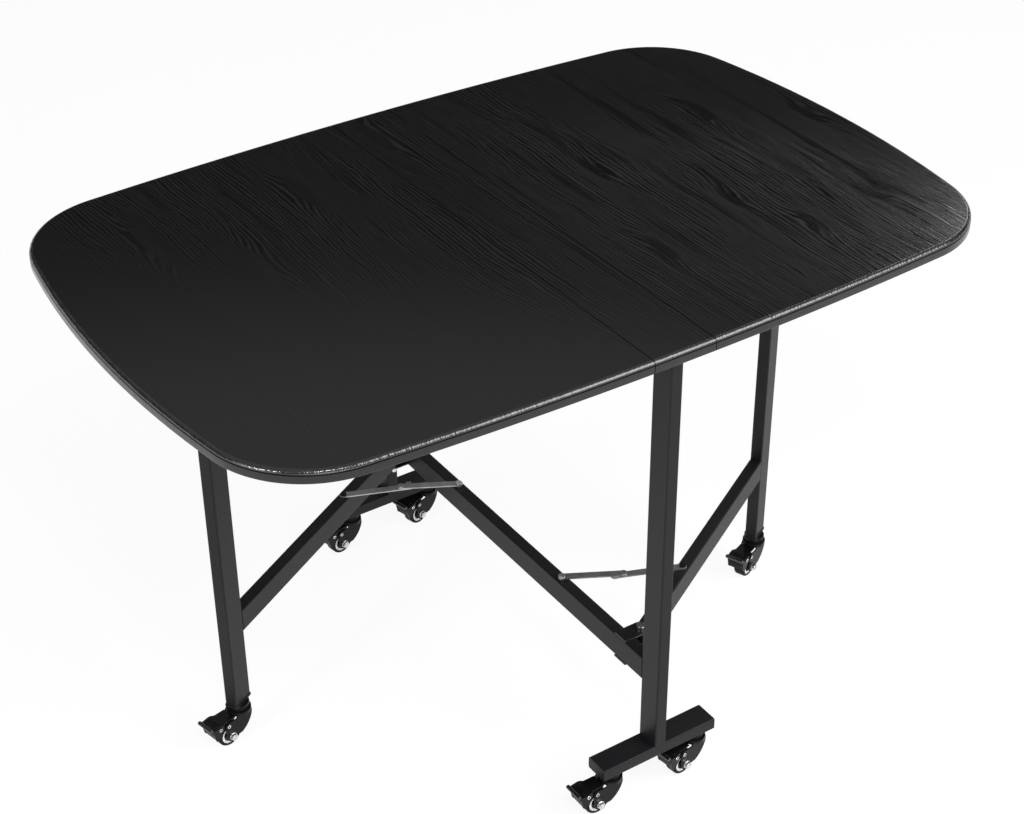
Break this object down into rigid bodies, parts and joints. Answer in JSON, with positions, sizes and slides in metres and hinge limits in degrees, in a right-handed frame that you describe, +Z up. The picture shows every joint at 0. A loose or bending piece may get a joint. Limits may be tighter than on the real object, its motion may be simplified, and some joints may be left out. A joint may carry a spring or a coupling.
{
  "type": "folding dining table",
  "caption": "Rectangular dining table with rounded corners and two leaves, carried by two swinging gates with folding lock struts on a tube frame with braked swivel casters.",
  "frame": {"origin": "on the floor under the middle of the open top", "axes": "+X along the open length, from the left leaf to the right leaf, +Y to the back, +Z up"},
  "size_m": [1.2, 0.8, 0.75],
  "materials": {
    "top_board": "satin wood-grain laminate, almost black",
    "edging": "glossy black edging",
    "hinge_steel": "zinc-plated sheet",
    "frame_tube": "satin black powder coat",
    "bracket": "black paint",
    "plug": "matt black",
    "bolt": "bright zinc",
    "caster_stem": "black",
    "strut_steel": "grey zinc",
    "caster_fork": "glossy black",
    "caster_pedal": "glossy black",
    "caster_axle": "bright zinc",
    "caster_hub": "pale ring, black web",
    "caster_tyre": "matt black"
  },
  "bodies": {
    "frame": {"centre_panel": "top_board", "centre_edging": "edging", "fixed_hinge_plates": "hinge_steel", "front_post": "frame_tube", "back_post": "frame_tube", "feet": "frame_tube", "lower_rail": "frame_tube", "top_rail": "frame_tube", "pivot_brackets": "bracket", "foot_plugs": "plug", "frame_bolts": "bolt", "frame_stems": "caster_stem"},
    "left_leaf": {"left_leaf": "top_board", "left_edging": "edging", "left_hinge_plates": "hinge_steel"},
    "left_gate": {"left_gate_leg": "frame_tube", "left_gate_rails": "frame_tube", "left_gate_plugs": "plug", "left_gate_fasteners": "caster_stem"},
    "left_strut_frame_end": {"left_frame_link": "strut_steel"},
    "left_strut_gate_end": {"left_gate_link": "strut_steel"},
    "right_leaf": {"right_leaf": "top_board", "right_edging": "edging", "right_hinge_plates": "hinge_steel"},
    "right_gate": {"right_gate_leg": "frame_tube", "right_gate_rails": "frame_tube", "right_gate_plugs": "plug", "right_gate_fasteners": "caster_stem"},
    "right_strut_frame_end": {"right_frame_link": "strut_steel"},
    "right_strut_gate_end": {"right_gate_link": "strut_steel"},
    "front_left_swivel": {"front_left_caster_fork": "caster_fork", "front_left_caster_axle": "caster_axle"},
    "front_left_wheel": {"front_left_caster_hub": "caster_hub", "front_left_caster_tyre": "caster_tyre"},
    "front_left_brake": {"front_left_caster_pedal": "caster_pedal"},
    "front_right_swivel": {"front_right_caster_fork": "caster_fork", "front_right_caster_axle": "caster_axle"},
    "front_right_wheel": {"front_right_caster_hub": "caster_hub", "front_right_caster_tyre": "caster_tyre"},
    "front_right_brake": {"front_right_caster_pedal": "caster_pedal"},
    "back_left_swivel": {"back_left_caster_fork": "caster_fork", "back_left_caster_axle": "caster_axle"},
    "back_left_wheel": {"back_left_caster_hub": "caster_hub", "back_left_caster_tyre": "caster_tyre"},
    "back_left_brake": {"back_left_caster_pedal": "caster_pedal"},
    "back_right_swivel": {"back_right_caster_fork": "caster_fork", "back_right_caster_axle": "caster_axle"},
    "back_right_wheel": {"back_right_caster_hub": "caster_hub", "back_right_caster_tyre": "caster_tyre"},
    "back_right_brake": {"back_right_caster_pedal": "caster_pedal"},
    "left_gate_swivel": {"left_gate_caster_fork": "caster_fork", "left_gate_caster_axle": "caster_axle"},
    "left_gate_wheel": {"left_gate_caster_hub": "caster_hub", "left_gate_caster_tyre": "caster_tyre"},
    "left_gate_brake": {"left_gate_caster_pedal": "caster_pedal"},
    "right_gate_swivel": {"right_gate_caster_fork": "caster_fork", "right_gate_caster_axle": "caster_axle"},
    "right_gate_wheel": {"right_gate_caster_hub": "caster_hub", "right_gate_caster_tyre": "caster_tyre"},
    "right_gate_brake": {"right_gate_caster_pedal": "caster_pedal"}
  },
  "joints": [
    {"name": "left_leaf_lift", "type": "hinge", "parent": "frame", "child": "left_leaf", "pos_m": [-0.0475, 0, 0.7282], "axis": [0, 1, 0], "range_deg": [0, 2.5]},
    {"name": "right_leaf_lift", "type": "hinge", "parent": "frame", "child": "right_leaf", "pos_m": [0.0475, 0, 0.7282], "axis": [0, -1, 0], "range_deg": [0, 2.5]},
    {"name": "left_gate_swing", "type": "hinge", "parent": "frame", "child": "left_gate", "pos_m": [-0.026, 0.296, 0.204], "axis": [0, 0, 1], "range_deg": [0, 60]},
    {"name": "left_strut_frame_pivot", "type": "hinge", "parent": "frame", "child": "left_strut_frame_end", "pos_m": [0, 0.14, 0.2266], "axis": [0, 0, 1], "range_deg": [-50.2, 0]},
    {"name": "left_strut_gate_pivot", "type": "hinge", "parent": "left_gate", "child": "left_strut_gate_end", "pos_m": [-0.16197, 0.2175, 0.2243], "axis": [0, 0, 1], "range_deg": [0, 45.8]},
    {"name": "right_gate_swing", "type": "hinge", "parent": "frame", "child": "right_gate", "pos_m": [0.026, -0.296, 0.204], "axis": [0, 0, 1], "range_deg": [0, 60]},
    {"name": "right_strut_frame_pivot", "type": "hinge", "parent": "frame", "child": "right_strut_frame_end", "pos_m": [0, -0.14, 0.2266], "axis": [0, 0, 1], "range_deg": [-50.2, 0]},
    {"name": "right_strut_gate_pivot", "type": "hinge", "parent": "right_gate", "child": "right_strut_gate_end", "pos_m": [0.16197, -0.2175, 0.2243], "axis": [0, 0, 1], "range_deg": [0, 45.8]},
    {"name": "front_left_swivel_turn", "type": "hinge", "parent": "frame", "child": "front_left_swivel", "pos_m": [-0.074, -0.366, 0.058], "axis": [0, 0, 1], "continuous": true},
    {"name": "front_left_wheel_spin", "type": "hinge", "parent": "front_left_swivel", "child": "front_left_wheel", "pos_m": [-0.1, -0.366, 0.02], "axis": [0, -1, 0], "continuous": true},
    {"name": "front_left_brake_press", "type": "hinge", "parent": "front_left_swivel", "child": "front_left_brake", "pos_m": [-0.1055, -0.366, 0.042], "axis": [0, -1, 0], "range_deg": [0, 9]},
    {"name": "front_right_swivel_turn", "type": "hinge", "parent": "frame", "child": "front_right_swivel", "pos_m": [0.074, -0.366, 0.058], "axis": [0, 0, 1], "continuous": true},
    {"name": "front_right_wheel_spin", "type": "hinge", "parent": "front_right_swivel", "child": "front_right_wheel", "pos_m": [0.04825, -0.36962, 0.02], "axis": [0.1392, -0.9903, 0], "continuous": true},
    {"name": "front_right_brake_press", "type": "hinge", "parent": "front_right_swivel", "child": "front_right_brake", "pos_m": [0.04281, -0.37038, 0.042], "axis": [0.1392, -0.9903, 0], "range_deg": [0, 9]},
    {"name": "back_left_swivel_turn", "type": "hinge", "parent": "frame", "child": "back_left_swivel", "pos_m": [-0.074, 0.366, 0.058], "axis": [0, 0, 1], "continuous": true},
    {"name": "back_left_wheel_spin", "type": "hinge", "parent": "back_left_swivel", "child": "back_left_wheel", "pos_m": [-0.0996, 0.36149, 0.02], "axis": [0.1736, -0.9848, 0], "continuous": true},
    {"name": "back_left_brake_press", "type": "hinge", "parent": "back_left_swivel", "child": "back_left_brake", "pos_m": [-0.10502, 0.36053, 0.042], "axis": [0.1736, -0.9848, 0], "range_deg": [0, 9]},
    {"name": "back_right_swivel_turn", "type": "hinge", "parent": "frame", "child": "back_right_swivel", "pos_m": [0.074, 0.366, 0.058], "axis": [0, 0, 1], "continuous": true},
    {"name": "back_right_wheel_spin", "type": "hinge", "parent": "back_right_swivel", "child": "back_right_wheel", "pos_m": [0.04877, 0.35971, 0.02], "axis": [0.2419, -0.9703, 0], "continuous": true},
    {"name": "back_right_brake_press", "type": "hinge", "parent": "back_right_swivel", "child": "back_right_brake", "pos_m": [0.04344, 0.35838, 0.042], "axis": [0.2419, -0.9703, 0], "range_deg": [0, 9]},
    {"name": "left_gate_swivel_turn", "type": "hinge", "parent": "left_gate", "child": "left_gate_swivel", "pos_m": [-0.44169, 0.056, 0.058], "axis": [0, 0, 1], "continuous": true},
    {"name": "left_gate_wheel_spin", "type": "hinge", "parent": "left_gate_swivel", "child": "left_gate_wheel", "pos_m": [-0.46712, 0.05059, 0.02], "axis": [0.2079, -0.9781, 0], "continuous": true},
    {"name": "left_gate_brake_press", "type": "hinge", "parent": "left_gate_swivel", "child": "left_gate_brake", "pos_m": [-0.4725, 0.04945, 0.042], "axis": [0.2079, -0.9781, 0], "range_deg": [0, 9]},
    {"name": "right_gate_swivel_turn", "type": "hinge", "parent": "right_gate", "child": "right_gate_swivel", "pos_m": [0.44169, -0.056, 0.058], "axis": [0, 0, 1], "continuous": true},
    {"name": "right_gate_wheel_spin", "type": "hinge", "parent": "right_gate_swivel", "child": "right_gate_wheel", "pos_m": [0.41742, -0.06532, 0.02], "axis": [0.3584, -0.9336, 0], "continuous": true},
    {"name": "right_gate_brake_press", "type": "hinge", "parent": "right_gate_swivel", "child": "right_gate_brake", "pos_m": [0.41228, -0.06729, 0.042], "axis": [0.3584, -0.9336, 0], "range_deg": [0, 9]}
  ],
  "couplings": [
    {"joint": "left_strut_frame_pivot", "follows": "left_gate_swing", "ratio": -0.8352},
    {"joint": "left_strut_gate_pivot", "follows": "left_gate_swing", "ratio": 0.761},
    {"joint": "right_strut_frame_pivot", "follows": "right_gate_swing", "ratio": -0.8352},
    {"joint": "right_strut_gate_pivot", "follows": "right_gate_swing", "ratio": 0.761}
  ]
}
